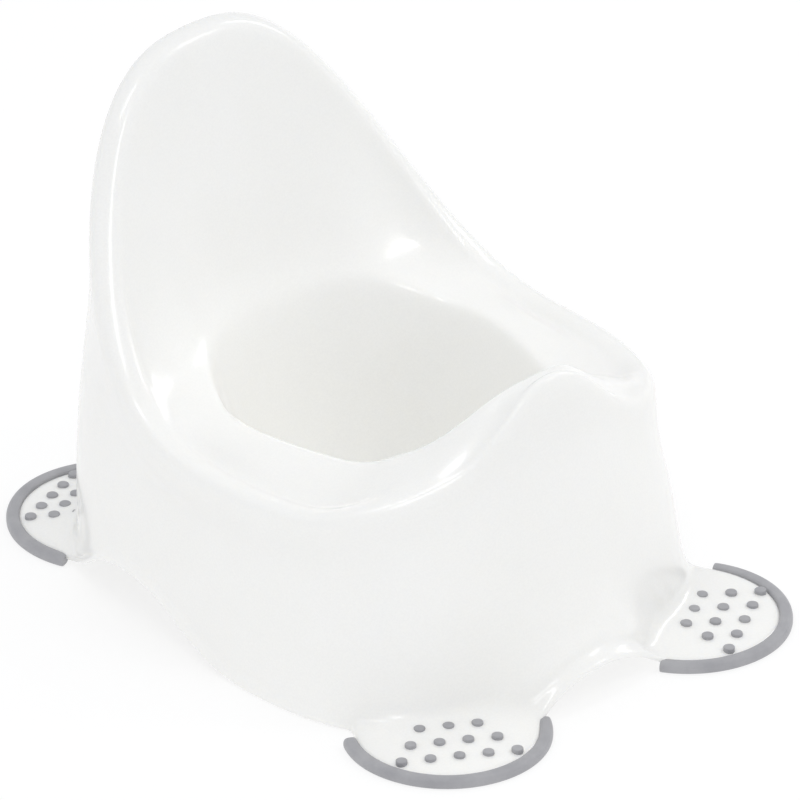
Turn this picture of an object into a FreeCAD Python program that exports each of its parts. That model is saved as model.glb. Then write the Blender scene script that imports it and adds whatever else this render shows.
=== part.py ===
"""Potty training chair: one-piece moulded shell with rubber grip edges and grip dots on four feet.

Millimetres, +Z up, the child faces -Y, the origin is on the floor under the middle of the chair.
The shell is a pair of spline skins, both run through loops of poles that the formulas below give
for every direction around the chair. Feet pockets, dots, dot holes and grip edges are solids
driven from the Dimensions sheet.
"""
import FreeCAD
import Part
import Sketcher
import os
from math import cos, exp, hypot, pi, radians, sin

DIMENSIONS = [
    # alias, value, what it is
    ("half_width_low", 129.0, "half width of the skirt just above the floor"),
    ("front_reach_low", 134.0, "skirt reach in front of the plan centre, at the floor"),
    ("rear_reach_low", 160.0, "skirt reach behind the plan centre, at the floor"),
    ("front_square_low", 3.4, "plan exponent of the front corners, at the floor"),
    ("rear_square_low", 3.0, "plan exponent of the rear corners, at the floor"),
    ("half_width_wall", 129.0, "half width of the wall"),
    ("front_reach_wall", 134.0, "wall reach in front of the plan centre"),
    ("rear_reach_wall", 164.0, "wall reach behind the plan centre"),
    ("front_square_wall", 2.8, "plan exponent of the wall's front corners"),
    ("rear_square_wall", 2.9, "plan exponent of the wall's rear corners"),
    ("half_width_rim", 124.0, "half width of the rim crest"),
    ("front_reach_rim", 117.0, "rim reach in front of the plan centre"),
    ("rear_reach_rim", 152.5, "rim reach behind the plan centre"),
    ("front_square_rim", 2.5, "plan exponent of the rim's front corners"),
    ("rear_square_rim", 2.6, "plan exponent of the rim's rear corners"),
    ("half_width_bowl", 70.0, "half width of the bowl opening at its front"),
    ("front_reach_bowl", 105.0, "bowl opening reach in front of the plan centre"),
    ("rear_reach_bowl", 98.0, "bowl opening reach behind the plan centre"),
    ("front_square_bowl", 2.3, "plan exponent of the bowl opening, front"),
    ("rear_square_bowl", 2.3, "plan exponent of the bowl opening, rear"),
    ("bowl_widening", 0.2, "how much wider the bowl opening is at its rear"),
    ("plan_centre_y", -8.0, "plan centre of all the loops"),
    ("side_height", 111.5, "height of the rim beside the thighs"),
    ("back_rise", 155.0, "rise of the rim from the sides to the top of the backrest"),
    ("back_reach", 145.0, "distance over which the backrest rises"),
    ("back_power", 2.4, "how late the backrest rises"),
    ("front_rise", 12.5, "rise of the rim towards the front corners"),
    ("guard_rise", 50.0, "rise of the splash guard above the front rim"),
    ("guard_spread", 45.0, "half width of the splash guard at the rim"),
    ("guard_bowl_spread", 51.0, "half width of the splash guard at the bowl opening"),
    ("roll_step", 10.0, "most that the seat side steps down beside the rim roll"),
    ("bowl_edge_height", 119.0, "height of the bowl opening at the sides"),
    ("bowl_rear_rise", 12.0, "rise of the bowl opening towards the backrest"),
    ("bowl_floor_height", 11.0, "height of the bowl floor, inside"),
    ("wall_thickness", 2.8, "thickness of the moulding"),
    ("edge_height", 1.5, "height of the skirt's bottom edge beside the feet"),
    ("side_arch_height", 30.0, "height of the arch in each side of the skirt"),
    ("side_arch_y", 52.0, "middle of the side arch"),
    ("side_arch_spread", 46.0, "half length of the side arch"),
    ("front_arch_height", 21.0, "height of the arch between the front feet"),
    ("front_arch_spread", 33.0, "half width of the arch between the front feet"),
    ("rear_arch_height", 7.0, "height of the arch between the rear feet"),
    ("rear_arch_spread", 14.0, "half width of the arch between the rear feet"),
    ("front_flare", 16.0, "how far the skirt flares out between the front feet"),
    ("front_flare_spread", 50.0, "half width of the flare"),
    ("front_foot_x", 84.0, "front foot centre from the middle plane"),
    ("front_foot_y", 138.0, "front foot centre from the origin"),
    ("rear_foot_x", 62.0, "rear foot centre from the middle plane"),
    ("rear_foot_y", 138.0, "rear foot centre from the origin"),
    ("front_foot_splay", 31.0, "angle of a front foot away from the long axis, in degrees"),
    ("rear_foot_splay", 20.0, "angle of a rear foot away from the long axis, in degrees"),
    ("foot_plate_radius", 48.0, "radius of a foot's hard plate"),
    ("foot_plate_top", 4.8, "height of the plate's top at its outer end"),
    ("foot_plate_rise", 3.2, "rise of the plate's top towards the wall"),
    ("pocket_radius", 44.5, "radius of the pocket under each foot plate"),
    ("pocket_height", 2.6, "height of the pocket under each foot plate"),
    ("grip_radius", 54.0, "outer radius of the rubber grip edge"),
    ("grip_inner_radius", 46.0, "inner radius of the rubber grip edge, before the plate is taken off"),
    ("grip_height", 5.6, "height of the rubber grip edge"),
    ("grip_round", 2.4, "rounding of the grip edge's top corners"),
    ("dot_radius", 3.1, "radius of a grip dot"),
    ("front_dot_pitch", 15.0, "distance between dots in a row, front feet"),
    ("front_dot_row_pitch", 13.4, "distance between rows of dots, front feet"),
    ("front_dot_first_row", 3.5, "distance of the row nearest the wall from a front foot's centre"),
    ("rear_dot_pitch", 12.0, "distance between dots in a row, rear feet"),
    ("rear_dot_row_pitch", 10.5, "distance between rows of dots, rear feet"),
    ("rear_dot_first_row", 13.0, "distance of the row nearest the wall from a rear foot's centre"),
    ("dot_bottom", 1.0, "gap between a dot and the floor"),
    ("dot_proud", 1.15, "how far a dot stands above the plate"),
]

COLUMNS = 96          # poles around the chair
SKIRT_ROWS = 5        # spline spans from the bottom edge to where the wall starts
TONGUE_START = 58     # first column of the front left foot, counted from +X
TONGUE_END = 70       # last column of the front left foot
DOTS_PER_ROW = (3, 4, 5)
FEET = (("front_left", -1, -1), ("front_right", 1, -1), ("rear_left", -1, 1), ("rear_right", 1, 1))

doc = FreeCAD.newDocument("PottyChair")
sheet = doc.addObject("Spreadsheet::Sheet", "Dimensions")
sheet.Label = "Dimensions"
for line, (alias, value, meaning) in enumerate(DIMENSIONS, start=1):
    sheet.set(f"A{line}", alias)
    sheet.set(f"B{line}", str(value))
    sheet.set(f"C{line}", meaning)
    sheet.setAlias(f"B{line}", alias)
doc.recompute()
D = {alias: float(sheet.get(alias)) for alias, value, meaning in DIMENSIONS}


# ---- shared formulas -------------------------------------------------------

def ease(start, end, value):
    """0 before start, 1 after end, smooth between."""
    t = min(1.0, max(0.0, (value - start) / (end - start)))
    return t * t * (3.0 - 2.0 * t)


def bump(distance, spread, power):
    """1 at distance 0, falling to nothing over spread."""
    return exp(-abs(distance / spread) ** power)


def mix(p, q, share):
    return tuple(a * (1.0 - share) + b * share for a, b in zip(p, q))


def loop_point(name, angle):
    """Point of a named plan loop: a superellipse with its own front and rear halves."""
    side = "rear" if sin(angle) >= 0 else "front"
    power = 2.0 / D[f"{side}_square_{name}"]
    across = abs(cos(angle)) ** power * (1 if cos(angle) >= 0 else -1)
    along = abs(sin(angle)) ** power * (1 if sin(angle) >= 0 else -1)
    return D[f"half_width_{name}"] * across, D["plan_centre_y"] + D[f"{side}_reach_{name}"] * along


def flared(x, y):
    """The floor loop with the skirt's flare between the front feet."""
    return x, y - D["front_flare"] * bump(x, D["front_flare_spread"], 4.0) * ease(-90.0, -125.0, y)


def rim_height(x, y):
    z = D["side_height"] + D["back_rise"] * max(0.0, y / D["back_reach"]) ** D["back_power"]
    z += D["front_rise"] * ease(-60.0, -118.0, y)
    return z + D["guard_rise"] * bump(x, D["guard_spread"], 2.2) * ease(-85.0, -112.0, y)


def edge_height(x, y):
    """Height of the skirt's bottom edge, with its arches."""
    side = bump(y - D["side_arch_y"], D["side_arch_spread"], 3.0) * ease(80.0, 110.0, abs(x))
    rear = bump(x, D["rear_arch_spread"], 3.0) * ease(0.0, 60.0, y)
    front = bump(x, D["front_arch_spread"], 3.0) * ease(0.0, -60.0, y)
    height = D["edge_height"] + D["side_arch_height"] * side
    return height + D["rear_arch_height"] * rear + D["front_arch_height"] * front


def foot_frame(x_sign, y_sign):
    """Centre of a foot, its outward direction and the direction along its row of dots."""
    name = "front" if y_sign < 0 else "rear"
    centre = (x_sign * D[f"{name}_foot_x"], y_sign * D[f"{name}_foot_y"])
    splay = radians(D[f"{name}_foot_splay"])
    outward = (x_sign * sin(splay), y_sign * cos(splay))
    sideways = (x_sign * cos(splay), -y_sign * sin(splay))
    return centre, outward, sideways


def foot_of_column(column):
    """The foot a column runs down to, and how far round the foot it is."""
    for name, x_sign, y_sign in FEET:
        mirrored = column
        if x_sign > 0:
            mirrored = (3 * COLUMNS // 2 - mirrored) % COLUMNS
        if y_sign > 0:
            mirrored = (COLUMNS - mirrored) % COLUMNS
        if TONGUE_START <= mirrored <= TONGUE_END:
            return x_sign, y_sign, (mirrored - TONGUE_START) / (TONGUE_END - TONGUE_START)
    return None


def tongue_point(x_sign, y_sign, share, radius):
    centre, outward, sideways = foot_frame(x_sign, y_sign)
    angle = pi * share
    return tuple(c + radius * (cos(angle) * s + sin(angle) * o)
                 for c, s, o in zip(centre, sideways, outward))


# ---- the shell's poles -----------------------------------------------------

def skirt_poles(column, low, height, with_foot):
    """Poles from the bottom edge up to where the wall starts."""
    foot = foot_of_column(column) if with_foot else None
    if foot:
        tip = tongue_point(*foot, D["foot_plate_radius"])
        top = D["foot_plate_top"]
        rise = D["foot_plate_rise"]
        return [(*tip, D["edge_height"]), (*tip, top - 1.7), (*mix(tip, low, 0.04), top),
                (*mix(tip, low, 0.5), top + 0.45 * rise), (*mix(tip, low, 0.88), top + rise)]
    centre = (0.0, D["plan_centre_y"])
    front_lip = bump(low[0], 45.0, 4.0) * ease(0.0, -60.0, low[1])
    outer = mix(low, centre, -0.012 - 0.043 * front_lip)
    return [(*outer, height), (*outer, height + 2.0), (*mix(outer, low, 0.3), height + 3.5),
            (*mix(outer, low, 0.7), height + 5.5), (*low, height + 8.0)]


def wall_poles(low, wall, rim, start, top):
    """Poles up the outer wall, from the flared skirt to just under the rim."""
    rise = top - 8.0 - start
    flare = [(mix(low, wall, share), lift) for share, lift in ((0.0, 0.035), (0.35, 0.09), (0.75, 0.2))]
    upper = [(mix(wall, rim, share), lift) for share, lift in ((0.05, 0.38), (0.3, 0.58), (0.62, 0.78))]
    return [(*point, start + lift * rise) for point, lift in flare + upper]


def column_poles(column, with_foot=True):
    """All the outer skin's poles in one direction, from the bottom edge to the bowl floor."""
    angle = 2.0 * pi * column / COLUMNS
    low = flared(*loop_point("low", angle))
    wall = loop_point("wall", angle)
    rim = loop_point("rim", angle)
    bowl_x, bowl_y = loop_point("bowl", angle)
    bowl = (bowl_x * (1.0 + D["bowl_widening"] * ease(-70.0, 30.0, bowl_y)), bowl_y)
    top = rim_height(*rim)
    height = edge_height(*low)
    poles = skirt_poles(column, low, height, with_foot)
    poles += wall_poles(low, wall, rim, height + 6.0, top)

    span = hypot(rim[0] - bowl[0], rim[1] - bowl[1])
    outward = ((rim[0] - bowl[0]) / span, (rim[1] - bowl[1]) / span)

    def beside_rim(distance):
        return rim[0] + outward[0] * distance, rim[1] + outward[1] * distance

    bowl_top = D["bowl_edge_height"] + D["bowl_rear_rise"] * ease(0.3, 0.9, sin(angle))
    bowl_top += D["guard_rise"] * bump(bowl[0], D["guard_bowl_spread"], 3.1) * ease(-45.0, -80.0, bowl[1])
    narrow = min(1.0, span / 34.0)
    soft = ease(-60.0, -110.0, rim[1])
    for distance, drop in ((6.0, 13.0 + 8.0 * soft), (5.6 - 0.4 * soft, 4.0 + 4.5 * soft),
                           (2.5, -0.6 + 1.4 * soft)):
        poles.append((*beside_rim(distance), top - drop))

    # Inside the rim roll the seat dips, except on the guard's flanks, which climb straight to the bowl.
    dip = 1.0 - ease(-6.0, 4.0, bowl_top - top) * ease(-70.0, -105.0, rim[1])
    climb = (1.0 - dip) * (bowl_top - top) / span
    step = min(D["roll_step"], 0.25 * max(0.0, top - bowl_top))
    for distance, drop in ((4.0, -0.6), (9.5, 1.2), (12.5, 2.0 + 0.7 * step)):
        poles.append((*beside_rim(-distance * narrow), top - drop * dip + climb * distance * narrow))
    shoulder = beside_rim(-14.0 * narrow)
    seat_top = top - (3.0 + step) * dip + climb * 14.0 * narrow
    hollow = 1.0 + (0.4 + 1.8 * ease(0.85, 0.35, sin(angle)) * ease(-0.2, 0.1, sin(angle))) * dip
    for share in (0.1, 0.38, 0.8):
        level = seat_top + (bowl_top - seat_top) * (1.0 - (1.0 - share) ** hollow)
        poles.append((*mix(shoulder, bowl, share), level))
    poles.append((*bowl, bowl_top - 1.0))

    floor = D["bowl_floor_height"]
    middle = (0.0, -6.0)
    for share, drop in ((0.035, 6.0), (0.12, 0.27 * (bowl_top - floor - 5.0)),
                        (0.26, 0.7 * (bowl_top - floor - 5.0)), (0.42, bowl_top - floor - 6.0),
                        (0.62, bowl_top - floor - 1.0), (0.82, bowl_top - floor)):
        poles.append((*mix(bowl, middle, share), bowl_top - drop))
    poles.append((*mix(bowl, middle, 0.93), floor))
    return poles


def vector_grid(with_foot):
    return [[FreeCAD.Vector(*pole) for pole in column_poles(column, with_foot)]
            for column in range(COLUMNS)]


def offset_grid(grid, depth):
    """The grid moved to the inner side of the moulding."""
    last = len(grid[0]) - 1
    moved = []
    for column in range(COLUMNS):
        before = grid[column - 1]
        after = grid[(column + 1) % COLUMNS]
        here = grid[column]
        line = []
        for row in range(last + 1):
            along = after[row] - before[row]
            up = here[min(row + 1, last)] - here[max(row - 1, 0)]
            normal = along.cross(up)
            if row == 0:
                normal.z = 0.0
            if row >= last - 1:
                normal = FreeCAD.Vector(0, 0, 1)
            line.append(here[row] - normal.normalize() * depth)
        moved.append(line)
    return moved


def skin(grid):
    """Spline faces, closed round the chair and open along the profile: cubic, or straight across two rows.

    The spline is cut into four quarters, and each quarter into skirt and upper part.
    """
    rows = len(grid[0])
    degree = min(3, rows - 1)
    surface = Part.BSplineSurface()
    surface.buildFromPolesMultsKnots(
        grid,
        [1] * (COLUMNS + 1), [degree + 1] + [1] * (rows - degree - 1) + [degree + 1],
        [float(k) for k in range(COLUMNS + 1)], [float(k) for k in range(rows - degree + 1)],
        True, False, 3, degree)
    quarter = COLUMNS // 4
    levels = [0, SKIRT_ROWS, rows - degree] if degree == 3 else [0, 1]
    faces = []
    for start in range(quarter - 1, COLUMNS, quarter):
        for low, high in zip(levels, levels[1:]):
            piece = surface.copy()
            piece.segment(start, start + quarter, low, high)
            faces.append(piece.toShape())
    return faces


def floor_cap(grid):
    """Flat face that closes the small ring left in the bowl's floor."""
    ring = Part.BSplineCurve()
    ring.buildFromPolesMultsKnots([line[-1] for line in grid], [1] * (COLUMNS + 1),
                                  [float(k) for k in range(COLUMNS + 1)], True, 3)
    quarter = COLUMNS // 4
    edges = []
    for start in range(quarter - 1, COLUMNS, quarter):
        piece = ring.copy()
        piece.segment(start, start + quarter)
        edges.append(piece.toShape())
    return Part.Face(Part.Wire(edges))


def shell_solid():
    outer_grid = vector_grid(True)
    inner_grid = offset_grid(vector_grid(False), D["wall_thickness"])
    lip_grid = [[outer[0], inner[0]] for outer, inner in zip(outer_grid, inner_grid)]
    faces = [floor_cap(outer_grid), floor_cap(inner_grid)]
    for grid in (outer_grid, inner_grid, lip_grid):
        faces += skin(grid)
    sewn = Part.makeShell(faces)
    sewn.sewShape()
    solid = Part.makeSolid(sewn)
    if solid.Volume < 0:
        solid.reverse()
    return solid


# ---- document objects ------------------------------------------------------

def add(kind, label, **bindings):
    """A document object whose named properties follow the sheet."""
    thing = doc.addObject(kind, label.replace(" ", "_"))
    thing.Label = label
    for name, expression in bindings.items():
        thing.setExpression(name, expression)
    return thing


def cylinder(label, radius, height, x, y, z):
    """Cylinder that follows the sheet, with its base centre at x, y, z."""
    thing = add("Part::Cylinder", label, Radius=radius, Height=height)
    for axis, expression in (("x", x), ("y", y), ("z", z)):
        thing.setExpression(f"Placement.Base.{axis}", expression)
    return thing


def foot_expressions(x_sign, y_sign, out, side):
    """Expressions for a spot on a foot, out from its centre and sideways along its dot rows."""
    name = "front" if y_sign < 0 else "rear"
    splay = f"Dimensions.{name}_foot_splay * 1deg"
    x = f"{x_sign} * (Dimensions.{name}_foot_x + ({out}) * sin({splay}) + ({side}) * cos({splay}))"
    y = f"{y_sign} * (Dimensions.{name}_foot_y + ({out}) * cos({splay}) - ({side}) * sin({splay}))"
    return x, y


def foot_dots(title, x_sign, y_sign):
    """The twelve dots of one foot, from just clear of the floor to just above the plate."""
    dots = []
    end = "front" if y_sign < 0 else "rear"
    plate = "Dimensions.foot_plate_top + Dimensions.foot_plate_rise"
    for row, count in enumerate(DOTS_PER_ROW):
        out = f"Dimensions.{end}_dot_first_row + {row} * Dimensions.{end}_dot_row_pitch"
        share = f"({out}) / Dimensions.foot_plate_radius"
        top = f"{plate} - Dimensions.foot_plate_rise * {share} + Dimensions.dot_proud - Dimensions.dot_bottom"
        for place in range(count):
            side = f"{place - (count - 1) / 2} * Dimensions.{end}_dot_pitch"
            x, y = foot_expressions(x_sign, y_sign, out, side)
            label = f"{title} dot {row + 1}.{place + 1}"
            dots.append(cylinder(label, "Dimensions.dot_radius", top, x, y, "Dimensions.dot_bottom"))
    return dots


def grip_sketch(body, title):
    """Section of the grip edge: upright inner side on the vertical axis' right, rounded top."""
    sketch = body.newObject("Sketcher::SketchObject", f"{title}_section".replace(" ", "_"))
    sketch.Label = f"{title} section"
    sketch.Placement = FreeCAD.Placement(FreeCAD.Vector(), FreeCAD.Rotation(FreeCAD.Vector(1, 0, 0), 90))
    inside = D["grip_inner_radius"]
    outside = D["grip_radius"]
    top = D["grip_height"]
    rounding = D["grip_round"]

    def spot(x, y):
        return FreeCAD.Vector(x, y, 0)

    bottom = sketch.addGeometry(Part.LineSegment(spot(inside, 0), spot(outside, 0)))
    outer = sketch.addGeometry(Part.LineSegment(spot(outside, 0), spot(outside, top - rounding)))
    corner = Part.Circle(spot(outside - rounding, top - rounding), FreeCAD.Vector(0, 0, 1), rounding)
    arc = sketch.addGeometry(Part.ArcOfCircle(corner, 0.0, pi / 2))
    upper = sketch.addGeometry(Part.LineSegment(spot(outside - rounding, top), spot(inside, top)))
    inner = sketch.addGeometry(Part.LineSegment(spot(inside, top), spot(inside, 0)))
    joints = ((bottom, 2, outer, 1), (arc, 2, upper, 1), (upper, 2, inner, 1), (inner, 2, bottom, 1))
    for first, first_end, second, second_end in joints:
        sketch.addConstraint(Sketcher.Constraint("Coincident", first, first_end, second, second_end))
    sketch.addConstraint(Sketcher.Constraint("Tangent", outer, 2, arc, 1))
    for line in (bottom, upper):
        sketch.addConstraint(Sketcher.Constraint("Horizontal", line))
    sketch.addConstraint(Sketcher.Constraint("Vertical", inner))
    origin = (-1, 1)
    driven = (("inside", "DistanceX", (*origin, bottom, 1), inside, "grip_inner_radius"),
              ("outside", "DistanceX", (*origin, bottom, 2), outside, "grip_radius"),
              ("tall", "DistanceY", (*origin, upper, 1), top, "grip_height"),
              ("rounding", "Radius", (arc,), rounding, "grip_round"))
    for name, kind, places, value, alias in driven:
        number = sketch.addConstraint(Sketcher.Constraint(kind, *places, value))
        sketch.renameConstraint(number, name)
        sketch.setExpression(f"Constraints.{name}", f"Dimensions.{alias}")
    sketch.addConstraint(Sketcher.Constraint("PointOnObject", bottom, 1, -1))
    return sketch


def grip_body(title, x_sign, y_sign):
    """Half ring of rubber around one foot, swept about the foot's upright axis."""
    body = doc.addObject("PartDesign::Body", f"{title}_body".replace(" ", "_"))
    body.Label = f"{title} body"
    sketch = grip_sketch(body, title)
    ring = body.newObject("PartDesign::Revolution", f"{title}_sweep".replace(" ", "_"))
    ring.Label = f"{title} sweep"
    ring.Profile = sketch
    ring.ReferenceAxis = (sketch, ["V_Axis"])
    ring.Angle = 180.0
    x, y = foot_expressions(x_sign, y_sign, "0", "0")
    body.setExpression("Placement.Base.x", x)
    body.setExpression("Placement.Base.y", y)
    end = "front" if y_sign < 0 else "rear"
    start = f"{90 * y_sign} - {x_sign * y_sign} * Dimensions.{end}_foot_splay - 90"
    body.Placement.Rotation = FreeCAD.Rotation(FreeCAD.Vector(0, 0, 1), 1.0)
    body.setExpression("Placement.Rotation.Angle", f"({start}) * 1deg")
    return body


def cut(label, base, tool):
    thing = add("Part::Cut", label)
    thing.Base = base
    thing.Tool = tool
    return thing


def compound(label, members):
    thing = add("Part::Compound", label)
    thing.Links = members
    return thing


moulding = doc.addObject("Part::Feature", "Moulding")
moulding.Label = "Moulding before pockets"
moulding.Shape = shell_solid()

pockets = []
dot_sets = {}
for name, x_sign, y_sign in FEET:
    title = name.replace("_", " ").capitalize()
    x, y = foot_expressions(x_sign, y_sign, "0", "0")
    pockets.append(cylinder(f"{title} pocket", "Dimensions.pocket_radius",
                            "Dimensions.pocket_height + 1", x, y, "-1"))
    dot_sets[name] = compound(f"{title} grip dots", foot_dots(title, x_sign, y_sign))

hollowed = cut("Moulding with pockets", moulding, compound("Foot pockets", pockets))
shell = cut("Potty shell", hollowed, compound("Dot holes", list(dot_sets.values())))
nodes = {"potty_shell": shell}
for name, x_sign, y_sign in FEET:
    title = name.replace("_", " ").capitalize()
    nodes[f"grip_edge_{name}"] = cut(f"{title} grip edge", grip_body(f"{title} grip", x_sign, y_sign), moulding)
    nodes[f"grip_dots_{name}"] = dot_sets[name]

doc.recompute()

for thing in doc.Objects:
    if "Invalid" in thing.State or "Error" in thing.State:
        raise RuntimeError(f"{thing.Label}: {thing.State}")
for name, thing in nodes.items():
    if thing.Shape.isNull() or not thing.Shape.isValid():
        raise RuntimeError(f"{name} has no valid shape")

os.makedirs("parts", exist_ok=True)
for name, thing in nodes.items():
    thing.Shape.exportStep(f"parts/{name}.step")
    box = thing.Shape.BoundBox
    print(f"{name}: {len(thing.Shape.Solids)} solids, {thing.Shape.Volume:.0f} mm3, "
          f"x {box.XMin:.2f}..{box.XMax:.2f}, y {box.YMin:.2f}..{box.YMax:.2f}, z {box.ZMin:.2f}..{box.ZMax:.2f}")
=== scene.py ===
"""Looks of the potty training chair: shell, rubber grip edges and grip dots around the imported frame."""

from math import cos, exp, hypot, pi, radians, sin

import bpy
from mathutils import Matrix, Vector


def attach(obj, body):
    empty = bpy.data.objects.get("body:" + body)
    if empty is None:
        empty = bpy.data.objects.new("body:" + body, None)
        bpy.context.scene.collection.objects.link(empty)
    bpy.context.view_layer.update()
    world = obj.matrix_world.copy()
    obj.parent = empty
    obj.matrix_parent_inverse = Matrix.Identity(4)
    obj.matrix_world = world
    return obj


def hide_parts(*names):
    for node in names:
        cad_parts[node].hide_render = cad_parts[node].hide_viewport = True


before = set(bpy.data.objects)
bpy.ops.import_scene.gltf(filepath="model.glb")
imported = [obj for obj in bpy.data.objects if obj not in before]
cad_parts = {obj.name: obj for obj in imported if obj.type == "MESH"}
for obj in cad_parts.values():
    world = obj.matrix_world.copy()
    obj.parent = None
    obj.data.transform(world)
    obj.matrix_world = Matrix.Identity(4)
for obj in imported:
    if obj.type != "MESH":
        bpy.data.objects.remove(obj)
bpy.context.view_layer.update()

MM = 0.001
COLUMNS = 96          # cage columns around the chair
TONGUE_START = 58     # first cage column of the front left foot, counted from +X
TONGUE_END = 70       # last cage column of the front left foot
FEET = (("front_left", -1, -1), ("front_right", 1, -1), ("rear_left", -1, 1), ("rear_right", 1, 1))
DOTS_PER_ROW = (3, 4, 5)

# Plan loops: half width, reach to the front, reach to the rear, front and rear plan exponents (mm).
PLAN_CENTRE_Y = -8.0
LOW = (129.0, 134.0, 160.0, 3.4, 3.0)
WALL = (129.0, 134.0, 164.0, 2.8, 2.9)
RIM = (124.0, 117.0, 152.5, 2.5, 2.6)
BOWL = (70.0, 105.0, 98.0, 2.3, 2.3)

BOWL_WIDENING = 0.2
BOWL_EDGE = 119.0
BOWL_REAR_RISE = 12.0
BOWL_FLOOR = 11.0
BOWL_MIDDLE = (0.0, -6.0)
SIDE_HEIGHT = 111.5
BACK_RISE = 155.0
BACK_REACH = 145.0
BACK_POWER = 2.4
FRONT_RISE = 12.5
GUARD_RISE = 50.0
GUARD_SPREAD = 45.0
GUARD_BOWL_SPREAD = 51.0
ROLL_STEP = 10.0
THICKNESS = 2.8
EDGE_HEIGHT = 1.5
SIDE_ARCH = (30.0, 52.0, 46.0)      # height, middle along Y, half length
FRONT_ARCH = (21.0, 33.0)           # height, half width
REAR_ARCH = (7.0, 14.0)
FRONT_FLARE = (16.0, 50.0)          # reach, half width
FRONT_LIP = (0.043, 45.0)           # share of the way outwards, half width
PLATE_RADIUS = 48.0
PLATE_TOP = 4.8
PLATE_RISE = 3.2
POCKET_RADIUS = 44.5
POCKET_HEIGHT = 2.6
GRIP_INNER = 47.2
GRIP_OUTER = 54.0
GRIP_HEIGHT = 5.6
GRIP_ROUND = 2.4
DOT_RADIUS = 3.1
DOT_BOTTOM = 1.0
DOT_PROUD = 1.15
DOT_SIDES = 16
GRIP_STEPS = 36

# Foot centre, splay in degrees, first dot row, row pitch and dot pitch (mm).
FRONT_FOOT = (84.0, 138.0, 31.0, 3.5, 13.4, 15.0)
REAR_FOOT = (62.0, 138.0, 20.0, 13.0, 10.5, 12.0)


# ---- shared formulas, in millimetres ---------------------------------------

def ease(start, end, value):
    """0 before start, 1 after end, smooth between."""
    t = min(1.0, max(0.0, (value - start) / (end - start)))
    return t * t * (3.0 - 2.0 * t)


def bump(distance, spread, power):
    """1 at distance 0, falling to nothing over spread."""
    return exp(-abs(distance / spread) ** power)


def mix(p, q, share):
    return tuple(a * (1.0 - share) + b * share for a, b in zip(p, q))


def loop_point(loop, angle):
    """Point of a plan loop: a superellipse with its own front and rear halves."""
    half_width, front, rear, front_square, rear_square = loop
    power = 2.0 / (rear_square if sin(angle) >= 0 else front_square)
    reach = rear if sin(angle) >= 0 else front
    across = abs(cos(angle)) ** power * (1 if cos(angle) >= 0 else -1)
    along = abs(sin(angle)) ** power * (1 if sin(angle) >= 0 else -1)
    return half_width * across, PLAN_CENTRE_Y + reach * along


def flared(x, y):
    """The floor loop with the skirt's flare between the front feet."""
    reach, spread = FRONT_FLARE
    return x, y - reach * bump(x, spread, 4.0) * ease(-90.0, -125.0, y)


def rim_height(x, y):
    z = SIDE_HEIGHT + BACK_RISE * max(0.0, y / BACK_REACH) ** BACK_POWER
    z += FRONT_RISE * ease(-60.0, -118.0, y)
    return z + GUARD_RISE * bump(x, GUARD_SPREAD, 2.2) * ease(-85.0, -112.0, y)


def edge_height(x, y):
    """Height of the skirt's bottom edge, with its arches."""
    side = bump(y - SIDE_ARCH[1], SIDE_ARCH[2], 3.0) * ease(80.0, 110.0, abs(x))
    rear = bump(x, REAR_ARCH[1], 3.0) * ease(0.0, 60.0, y)
    front = bump(x, FRONT_ARCH[1], 3.0) * ease(0.0, -60.0, y)
    return EDGE_HEIGHT + SIDE_ARCH[0] * side + REAR_ARCH[0] * rear + FRONT_ARCH[0] * front


def foot_frame(x_sign, y_sign):
    """Centre of a foot, its outward direction and the direction along its rows of dots."""
    numbers = FRONT_FOOT if y_sign < 0 else REAR_FOOT
    centre = (x_sign * numbers[0], y_sign * numbers[1])
    splay = radians(numbers[2])
    outward = (x_sign * sin(splay), y_sign * cos(splay))
    sideways = (x_sign * cos(splay), -y_sign * sin(splay))
    return centre, outward, sideways


def foot_spot(x_sign, y_sign, out, side):
    centre, outward, sideways = foot_frame(x_sign, y_sign)
    return tuple(c + out * o + side * s for c, o, s in zip(centre, outward, sideways))


def foot_of_column(column):
    """The foot a column runs down to, and how far round the foot it is."""
    for name, x_sign, y_sign in FEET:
        mirrored = column
        if x_sign > 0:
            mirrored = (3 * COLUMNS // 2 - mirrored) % COLUMNS
        if y_sign > 0:
            mirrored = (COLUMNS - mirrored) % COLUMNS
        if TONGUE_START <= mirrored <= TONGUE_END:
            return x_sign, y_sign, (mirrored - TONGUE_START) / (TONGUE_END - TONGUE_START)
    return None


def tongue_point(x_sign, y_sign, share, radius):
    angle = pi * share
    return foot_spot(x_sign, y_sign, radius * sin(angle), radius * cos(angle))


# ---- the shell's cage ------------------------------------------------------

def skirt_rows(column, low, height, with_foot):
    """Cage points from the bottom edge up to where the wall starts."""
    foot = foot_of_column(column) if with_foot else None
    if foot:
        tip = tongue_point(*foot, PLATE_RADIUS)
        return [(*tip, EDGE_HEIGHT), (*tip, PLATE_TOP - 1.7), (*mix(tip, low, 0.04), PLATE_TOP),
                (*mix(tip, low, 0.5), PLATE_TOP + 0.45 * PLATE_RISE),
                (*mix(tip, low, 0.88), PLATE_TOP + PLATE_RISE)]
    lip_reach, lip_spread = FRONT_LIP
    front_lip = bump(low[0], lip_spread, 4.0) * ease(0.0, -60.0, low[1])
    outer = mix(low, (0.0, PLAN_CENTRE_Y), -0.012 - lip_reach * front_lip)
    return [(*outer, height), (*outer, height + 2.0), (*mix(outer, low, 0.3), height + 3.5),
            (*mix(outer, low, 0.7), height + 5.5), (*low, height + 8.0)]


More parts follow.
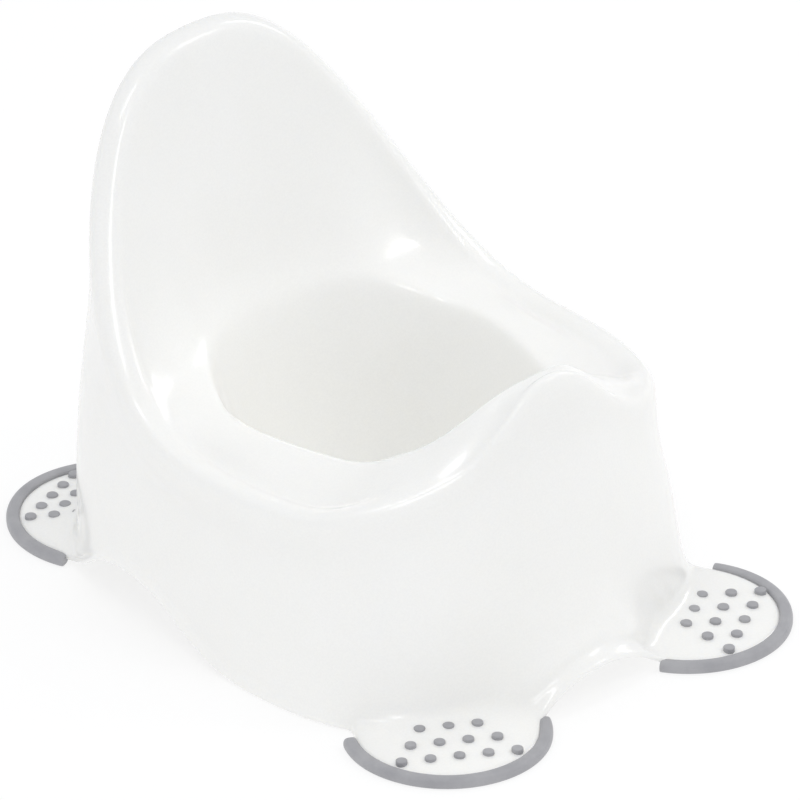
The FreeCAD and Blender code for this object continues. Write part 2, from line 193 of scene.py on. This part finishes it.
def outer_rows(column, with_foot=True):
    """Cage points of the outer skin in one direction, from the bottom edge to the bowl floor."""
    angle = 2.0 * pi * column / COLUMNS
    low = flared(*loop_point(LOW, angle))
    wall = loop_point(WALL, angle)
    rim = loop_point(RIM, angle)
    bowl_x, bowl_y = loop_point(BOWL, angle)
    bowl = (bowl_x * (1.0 + BOWL_WIDENING * ease(-70.0, 30.0, bowl_y)), bowl_y)
    top = rim_height(*rim)
    height = edge_height(*low)
    rows = skirt_rows(column, low, height, with_foot)

    start = height + 6.0
    rise = top - 8.0 - start
    for share, lift in ((0.0, 0.035), (0.35, 0.09), (0.75, 0.2)):
        rows.append((*mix(low, wall, share), start + lift * rise))
    for share, lift in ((0.05, 0.38), (0.3, 0.58), (0.62, 0.78)):
        rows.append((*mix(wall, rim, share), start + lift * rise))

    span = hypot(rim[0] - bowl[0], rim[1] - bowl[1])
    outward = ((rim[0] - bowl[0]) / span, (rim[1] - bowl[1]) / span)

    def beside_rim(distance):
        return rim[0] + outward[0] * distance, rim[1] + outward[1] * distance

    bowl_top = BOWL_EDGE + BOWL_REAR_RISE * ease(0.3, 0.9, sin(angle))
    bowl_top += GUARD_RISE * bump(bowl[0], GUARD_BOWL_SPREAD, 3.1) * ease(-45.0, -80.0, bowl[1])
    narrow = min(1.0, span / 34.0)
    soft = ease(-60.0, -110.0, rim[1])
    for distance, drop in ((6.0, 13.0 + 8.0 * soft), (5.6 - 0.4 * soft, 4.0 + 4.5 * soft),
                           (2.5, -0.6 + 1.4 * soft)):
        rows.append((*beside_rim(distance), top - drop))

    # Inside the rim roll the seat dips, except on the guard's flanks, which climb straight to the bowl.
    dip = 1.0 - ease(-6.0, 4.0, bowl_top - top) * ease(-70.0, -105.0, rim[1])
    climb = (1.0 - dip) * (bowl_top - top) / span
    step = min(ROLL_STEP, 0.25 * max(0.0, top - bowl_top))
    for distance, drop in ((4.0, -0.6), (9.5, 1.2), (12.5, 2.0 + 0.7 * step)):
        rows.append((*beside_rim(-distance * narrow), top - drop * dip + climb * distance * narrow))
    shoulder = beside_rim(-14.0 * narrow)
    seat_top = top - (3.0 + step) * dip + climb * 14.0 * narrow
    hollow = 1.0 + (0.4 + 1.8 * ease(0.85, 0.35, sin(angle)) * ease(-0.2, 0.1, sin(angle))) * dip
    for share in (0.1, 0.38, 0.8):
        level = seat_top + (bowl_top - seat_top) * (1.0 - (1.0 - share) ** hollow)
        rows.append((*mix(shoulder, bowl, share), level))
    rows.append((*bowl, bowl_top - 1.0))

    depth = bowl_top - BOWL_FLOOR
    for share, drop in ((0.035, 6.0), (0.12, 0.27 * (depth - 5.0)), (0.26, 0.7 * (depth - 5.0)),
                        (0.42, depth - 6.0), (0.62, depth - 1.0), (0.82, depth), (0.93, depth)):
        rows.append((*mix(bowl, BOWL_MIDDLE, share), bowl_top - drop))
    return rows


def moved_inwards(grid, depth):
    """The grid moved to the inner side of the moulding."""
    last = len(grid[0]) - 1
    moved = []
    for column in range(COLUMNS):
        before = grid[column - 1]
        after = grid[(column + 1) % COLUMNS]
        here = grid[column]
        line = []
        for row in range(last + 1):
            along = after[row] - before[row]
            up = here[min(row + 1, last)] - here[max(row - 1, 0)]
            normal = along.cross(up)
            if row == 0:
                normal.z = 0.0
            if row >= last - 1:
                normal = Vector((0, 0, 1))
            line.append(here[row] - normal.normalized() * depth)
        moved.append(line)
    return moved


def under_rows(column, inner):
    """Cage points under the bottom edge, from the inner wall outwards; feet have a pocket there."""
    foot = foot_of_column(column)
    if not foot:
        return [inner[1], inner[0] + Vector((0, 0, 0.6)), inner[0]]
    roof = Vector((*tongue_point(*foot, POCKET_RADIUS - 1.0), POCKET_HEIGHT))
    rim = Vector((*tongue_point(*foot, POCKET_RADIUS), POCKET_HEIGHT - 0.4))
    lip = Vector((*tongue_point(*foot, POCKET_RADIUS), EDGE_HEIGHT))
    return [roof, rim, lip]


def shell_cage():
    """Every column of the shell's cage, up the inside, round the bottom edge and over the outside."""
    outer = [[Vector(point) for point in outer_rows(column)] for column in range(COLUMNS)]
    plain = [[Vector(point) for point in outer_rows(column, False)] for column in range(COLUMNS)]
    inner = moved_inwards(plain, THICKNESS)
    cage = []
    for column in range(COLUMNS):
        inside = list(reversed(inner[column][3:]))
        under = under_rows(column, inner[column])
        bottom = outer[column][0]
        lip = [under[-1].lerp(bottom, 0.15), under[-1].lerp(bottom, 0.85)]
        edge = [bottom, bottom + Vector((0, 0, 0.5))]
        cage.append(inside + under + lip + edge + outer[column][1:])
    return cage


# ---- mesh helpers ----------------------------------------------------------

def make_object(name, vertices, faces, subdivisions=2):
    """Smooth subdivided object of points given in millimetres."""
    mesh = bpy.data.meshes.new(name)
    mesh.from_pydata([tuple(c * MM for c in v) for v in vertices], [], faces)
    mesh.validate()
    for polygon in mesh.polygons:
        polygon.use_smooth = True
    thing = bpy.data.objects.new(name, mesh)
    bpy.context.collection.objects.link(thing)
    smooth = thing.modifiers.new("Smooth", "SUBSURF")
    smooth.levels = subdivisions
    smooth.render_levels = subdivisions
    return thing


def ring_mesh(loops):
    """Vertices and quads of closed loops joined one to the next, with a cap on the first and last."""
    count = len(loops[0])
    vertices = [point for loop in loops for point in loop]
    faces = []
    for line in range(len(loops) - 1):
        for place in range(count):
            after = (place + 1) % count
            faces.append((line * count + place, line * count + after,
                          (line + 1) * count + after, (line + 1) * count + place))
    faces.append(tuple(reversed(range(count))))
    faces.append(tuple(range((len(loops) - 1) * count, len(loops) * count)))
    return vertices, faces


def shell_piece():
    cage = shell_cage()
    loops = [[cage[column][row] for column in range(COLUMNS)] for row in range(len(cage[0]))]
    vertices, faces = ring_mesh(loops)
    return make_object("shell", vertices, faces)


def grip_piece(name, x_sign, y_sign):
    """Rubber edge: a rounded section swept half way round the foot, with rounded ends."""
    section = ((GRIP_INNER, 0.0), (GRIP_OUTER - 0.8, 0.0), (GRIP_OUTER, 0.5), (GRIP_OUTER, 2.2),
               (GRIP_OUTER, GRIP_HEIGHT - GRIP_ROUND), (GRIP_OUTER - 0.7, GRIP_HEIGHT - 0.6),
               (GRIP_OUTER - GRIP_ROUND, GRIP_HEIGHT), (GRIP_INNER + 1.5, GRIP_HEIGHT),
               (GRIP_INNER, GRIP_HEIGHT - 0.5), (GRIP_INNER, 3.0))
    middle = ((GRIP_INNER + GRIP_OUTER) / 2.0, GRIP_HEIGHT / 2.0)
    loops = []
    for step in range(-1, GRIP_STEPS + 2):
        inside = min(GRIP_STEPS, max(0, step))
        swell = 0.86 if step in (-1, GRIP_STEPS + 1) else 1.0
        angle = pi * inside / GRIP_STEPS
        loop = []
        for radius, height in section:
            r = middle[0] + (radius - middle[0]) * swell
            z = middle[1] + (height - middle[1]) * swell
            spot = foot_spot(x_sign, y_sign, r * sin(angle), r * cos(angle))
            loop.append(Vector((*spot, z)))
        loops.append(loop)
    if x_sign * y_sign > 0:
        loops = [list(reversed(loop)) for loop in loops]
    vertices, faces = ring_mesh(loops)
    return make_object(name, vertices, faces)


def dots_piece(name, x_sign, y_sign):
    """Twelve rubber dots with softly crowned tops."""
    numbers = FRONT_FOOT if y_sign < 0 else REAR_FOOT
    first_row, row_pitch, pitch = numbers[3:]
    vertices = []
    faces = []
    for row, count in enumerate(DOTS_PER_ROW):
        out = first_row + row * row_pitch
        top = PLATE_TOP + PLATE_RISE * (1.0 - out / PLATE_RADIUS) + DOT_PROUD
        for place in range(count):
            spot = foot_spot(x_sign, y_sign, out, (place - (count - 1) / 2.0) * pitch)
            loops = []
            for radius, height in ((0.55, DOT_BOTTOM), (1.0, DOT_BOTTOM + 0.2), (1.0, top - 0.9),
                                   (1.0, top - 0.35), (0.9, top - 0.06), (0.5, top), (0.2, top)):
                loops.append([Vector((spot[0] + DOT_RADIUS * radius * cos(2 * pi * k / DOT_SIDES),
                                      spot[1] + DOT_RADIUS * radius * sin(2 * pi * k / DOT_SIDES), height))
                              for k in range(DOT_SIDES)])
            dot_vertices, dot_faces = ring_mesh(loops)
            base = len(vertices)
            vertices += dot_vertices
            faces += [tuple(base + index for index in face) for face in dot_faces]
    return make_object(name, vertices, faces, 1)


# ---- materials -------------------------------------------------------------

def node(tree, kind, **inputs):
    """New shader node with its named inputs set."""
    made = tree.nodes.new(kind)
    for name, value in inputs.items():
        made.inputs[name.replace("_", " ")].default_value = value
    return made


def noise(tree, coordinates, scale, detail=3.0, roughness=0.5):
    made = node(tree, "ShaderNodeTexNoise", Scale=scale, Detail=detail, Roughness=roughness)
    tree.links.new(coordinates.outputs["Object"], made.inputs["Vector"])
    return made


def ramp(tree, factor, stops):
    """Colour ramp over a factor: (position, colour) stops."""
    made = tree.nodes.new("ShaderNodeValToRGB")
    elements = made.color_ramp.elements
    while len(elements) < len(stops):
        elements.new(0.5)
    for element, (position, colour) in zip(elements, stops):
        element.position = position
        element.color = (*colour, 1.0)
    tree.links.new(factor, made.inputs["Fac"])
    return made


def bump_chain(tree, shader, heights):
    """Bump nodes one after another: (height socket, strength, distance in metres)."""
    previous = None
    for height, strength, distance in heights:
        made = node(tree, "ShaderNodeBump", Strength=strength, Distance=distance)
        tree.links.new(height, made.inputs["Height"])
        if previous:
            tree.links.new(previous.outputs["Normal"], made.inputs["Normal"])
        previous = made
    tree.links.new(previous.outputs["Normal"], shader.inputs["Normal"])


def range_of(tree, value, low, high, to_low, to_high):
    """The value mapped from low..high to to_low..to_high."""
    made = tree.nodes.new("ShaderNodeMapRange")
    for name, number in (("From Min", low), ("From Max", high), ("To Min", to_low), ("To Max", to_high)):
        made.inputs[name].default_value = number
    tree.links.new(value, made.inputs["Value"])
    return made.outputs["Result"]


def new_material(name):
    material = bpy.data.materials.new(name)
    material.use_nodes = True
    tree = material.node_tree
    return material, tree, tree.nodes["Principled BSDF"], tree.nodes.new("ShaderNodeTexCoord")


def shell_material():
    """Pearl white polypropylene: glossy, slightly translucent, with faint flow clouds and light scuffs."""
    material, tree, shader, place = new_material("pearl_plastic")
    clouds = noise(tree, place, 14.0, 3.0, 0.55)
    colour = ramp(tree, clouds.outputs["Fac"], ((0.30, (0.915, 0.912, 0.885)), (0.70, (0.932, 0.930, 0.908))))
    speckle = noise(tree, place, 900.0, 2.0, 0.6)
    tint = ramp(tree, speckle.outputs["Fac"], ((0.35, (0.975, 0.975, 0.978)), (0.65, (1.0, 1.0, 1.0))))
    blend = tree.nodes.new("ShaderNodeMix")
    blend.data_type = "RGBA"
    blend.blend_type = "MULTIPLY"
    blend.inputs[0].default_value = 1.0
    tree.links.new(colour.outputs["Color"], blend.inputs[6])
    tree.links.new(tint.outputs["Color"], blend.inputs[7])
    tree.links.new(blend.outputs[2], shader.inputs["Base Color"])

    stretched = tree.nodes.new("ShaderNodeMapping")
    stretched.inputs["Scale"].default_value = (40.0, 520.0, 160.0)
    stretched.inputs["Rotation"].default_value = (0.2, 0.5, 0.7)
    tree.links.new(place.outputs["Object"], stretched.inputs["Vector"])
    scuffs = node(tree, "ShaderNodeTexNoise", Scale=1.0, Detail=4.0, Roughness=0.65)
    tree.links.new(stretched.outputs["Vector"], scuffs.inputs["Vector"])
    scuffed = range_of(tree, scuffs.outputs["Fac"], 0.50, 0.85, 0.0, 0.03)
    haze = range_of(tree, noise(tree, place, 35.0, 4.0, 0.6).outputs["Fac"], 0.3, 0.7, 0.17, 0.25)
    total = tree.nodes.new("ShaderNodeMath")
    total.operation = "ADD"
    tree.links.new(scuffed, total.inputs[0])
    tree.links.new(haze, total.inputs[1])
    tree.links.new(total.outputs[0], shader.inputs["Roughness"])
    shader.inputs["IOR"].default_value = 1.49
    shader.inputs["Subsurface Weight"].default_value = 0.35
    shader.inputs["Subsurface Radius"].default_value = (1.0, 0.95, 0.85)
    shader.inputs["Subsurface Scale"].default_value = 0.006
    shader.inputs["Coat Weight"].default_value = 0.25
    shader.inputs["Coat Roughness"].default_value = 0.06
    ripple = noise(tree, place, 22.0, 2.0, 0.4)
    grain = noise(tree, place, 1400.0, 2.0, 0.5)
    bump_chain(tree, shader, ((ripple.outputs["Fac"], 0.10, 0.0006), (grain.outputs["Fac"], 0.05, 0.00005)))
    return material


def rubber_material():
    """Grey soft-touch rubber with a fine satin grain and paler rubbed patches."""
    material, tree, shader, place = new_material("grip_rubber")
    patches = noise(tree, place, 60.0, 5.0, 0.6)
    colour = ramp(tree, patches.outputs["Fac"], ((0.32, (0.335, 0.335, 0.355)), (0.72, (0.415, 0.415, 0.43))))
    tree.links.new(colour.outputs["Color"], shader.inputs["Base Color"])
    fine = noise(tree, place, 1600.0, 2.0, 0.6)
    rough = range_of(tree, patches.outputs["Fac"], 0.3, 0.7, 0.46, 0.62)
    tree.links.new(rough, shader.inputs["Roughness"])
    shader.inputs["Sheen Weight"].default_value = 0.15
    shader.inputs["Sheen Roughness"].default_value = 0.5
    shader.inputs["IOR"].default_value = 1.47
    bump_chain(tree, shader, ((fine.outputs["Fac"], 0.25, 0.0001), (patches.outputs["Fac"], 0.12, 0.0003)))
    return material


# ---- build -----------------------------------------------------------------

plastic = shell_material()
rubber = rubber_material()

shell = shell_piece()
shell.data.materials.append(plastic)
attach(shell, "root")
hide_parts("potty_shell")

for name, x_sign, y_sign in FEET:
    for piece, replaced in ((grip_piece(f"grip_{name}", x_sign, y_sign), f"grip_edge_{name}"),
                            (dots_piece(f"dots_{name}", x_sign, y_sign), f"grip_dots_{name}")):
        piece.data.materials.append(rubber)
        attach(piece, "root")
        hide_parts(replaced)


# ---- floor, light and camera ------------------------------------------------

def floor_material():
    material, _, shader, _ = new_material("pale_floor")
    shader.inputs["Base Color"].default_value = (0.25, 0.25, 0.25, 1.0)
    shader.inputs["Roughness"].default_value = 0.9
    shader.inputs["Emission Color"].default_value = (1.0, 1.0, 1.0, 1.0)
    shader.inputs["Emission Strength"].default_value = 0.74
    return material


FLOOR_REACH = 40.0                  # metres each way from the chair
floor_corners = [(x * FLOOR_REACH, y * FLOOR_REACH, 0.0) for x, y in ((-1, -1), (1, -1), (1, 1), (-1, 1))]
floor_mesh = bpy.data.meshes.new("floor")
floor_mesh.from_pydata(floor_corners, [], [(0, 1, 2, 3)])
floor = bpy.data.objects.new("floor", floor_mesh)
bpy.context.collection.objects.link(floor)
floor.data.materials.append(floor_material())

scene = bpy.context.scene
world = bpy.data.worlds.new("studio")
world.use_nodes = True
background = world.node_tree.nodes["Background"]
background.inputs["Color"].default_value = (0.975, 0.983, 1.0, 1.0)
background.inputs["Strength"].default_value = 0.80
scene.world = world
scene.view_settings.view_transform = "Standard"


def hang(light, place, target):
    """Hangs a light at a place, turned towards a target."""
    lamp = bpy.data.objects.new(light.name, light)
    lamp.location = place
    lamp.rotation_euler = (Vector(target) - Vector(place)).to_track_quat("-Z", "Y").to_euler()
    bpy.context.collection.objects.link(lamp)


def softbox(name, place, target, size, power, colour=(1.0, 1.0, 1.0)):
    light = bpy.data.lights.new(name, "AREA")
    light.shape = "RECTANGLE"
    light.size, light.size_y = size
    light.energy = power
    light.color = colour
    hang(light, place, target)


softbox("top", (0.1, 0.3, 2.2), (0, 0, 0.1), (1.4, 1.4), 1.5)
softbox("top_left", (-0.8, 0.0, 2.0), (0, 0, 0.12), (0.16, 0.6), 2.6)
softbox("key_left", (-1.1, -1.0, 1.9), (0, 0, 0.12), (0.3, 0.9), 4.5)
softbox("key_right", (1.5, -1.4, 2.0), (0, 0, 0.12), (0.5, 0.9), 5.0, (1.0, 0.985, 0.95))
softbox("strip_right", (2.0, 0.0, 1.3), (0, 0, 0.12), (0.2, 1.2), 4.0)

bowl_light = bpy.data.lights.new("bowl_glow", "SPOT")
bowl_light.energy = 8.0
bowl_light.color = (1.0, 0.97, 0.90)
bowl_light.spot_size = radians(11.0)
bowl_light.spot_blend = 1.0
bowl_light.shadow_soft_size = 0.08
hang(bowl_light, (0.5, -0.5, 1.0), (-0.03, 0.06, 0.075))

AZIMUTH = radians(-43.0)
ELEVATION = radians(30.0)
DISTANCE = 15.0                     # metres, as through a long lens
FIELD = 0.4094                      # width of the view at the chair, in metres
SENSOR = 36.0                       # millimetres
right = Vector((cos(AZIMUTH), sin(AZIMUTH), 0.0))
up = Vector((-sin(AZIMUTH) * sin(ELEVATION), cos(AZIMUTH) * sin(ELEVATION), cos(ELEVATION)))
back = right.cross(up)
target = right * 0.00885 + up * 0.09115
camera_data = bpy.data.cameras.new("camera")
camera_data.sensor_width = SENSOR
camera_data.lens = SENSOR * DISTANCE / FIELD
camera = bpy.data.objects.new("camera", camera_data)
turn = Matrix((right, up, back)).transposed().to_4x4()
camera.matrix_world = Matrix.Translation(target + back * DISTANCE) @ turn
bpy.context.collection.objects.link(camera)
scene.camera = camera
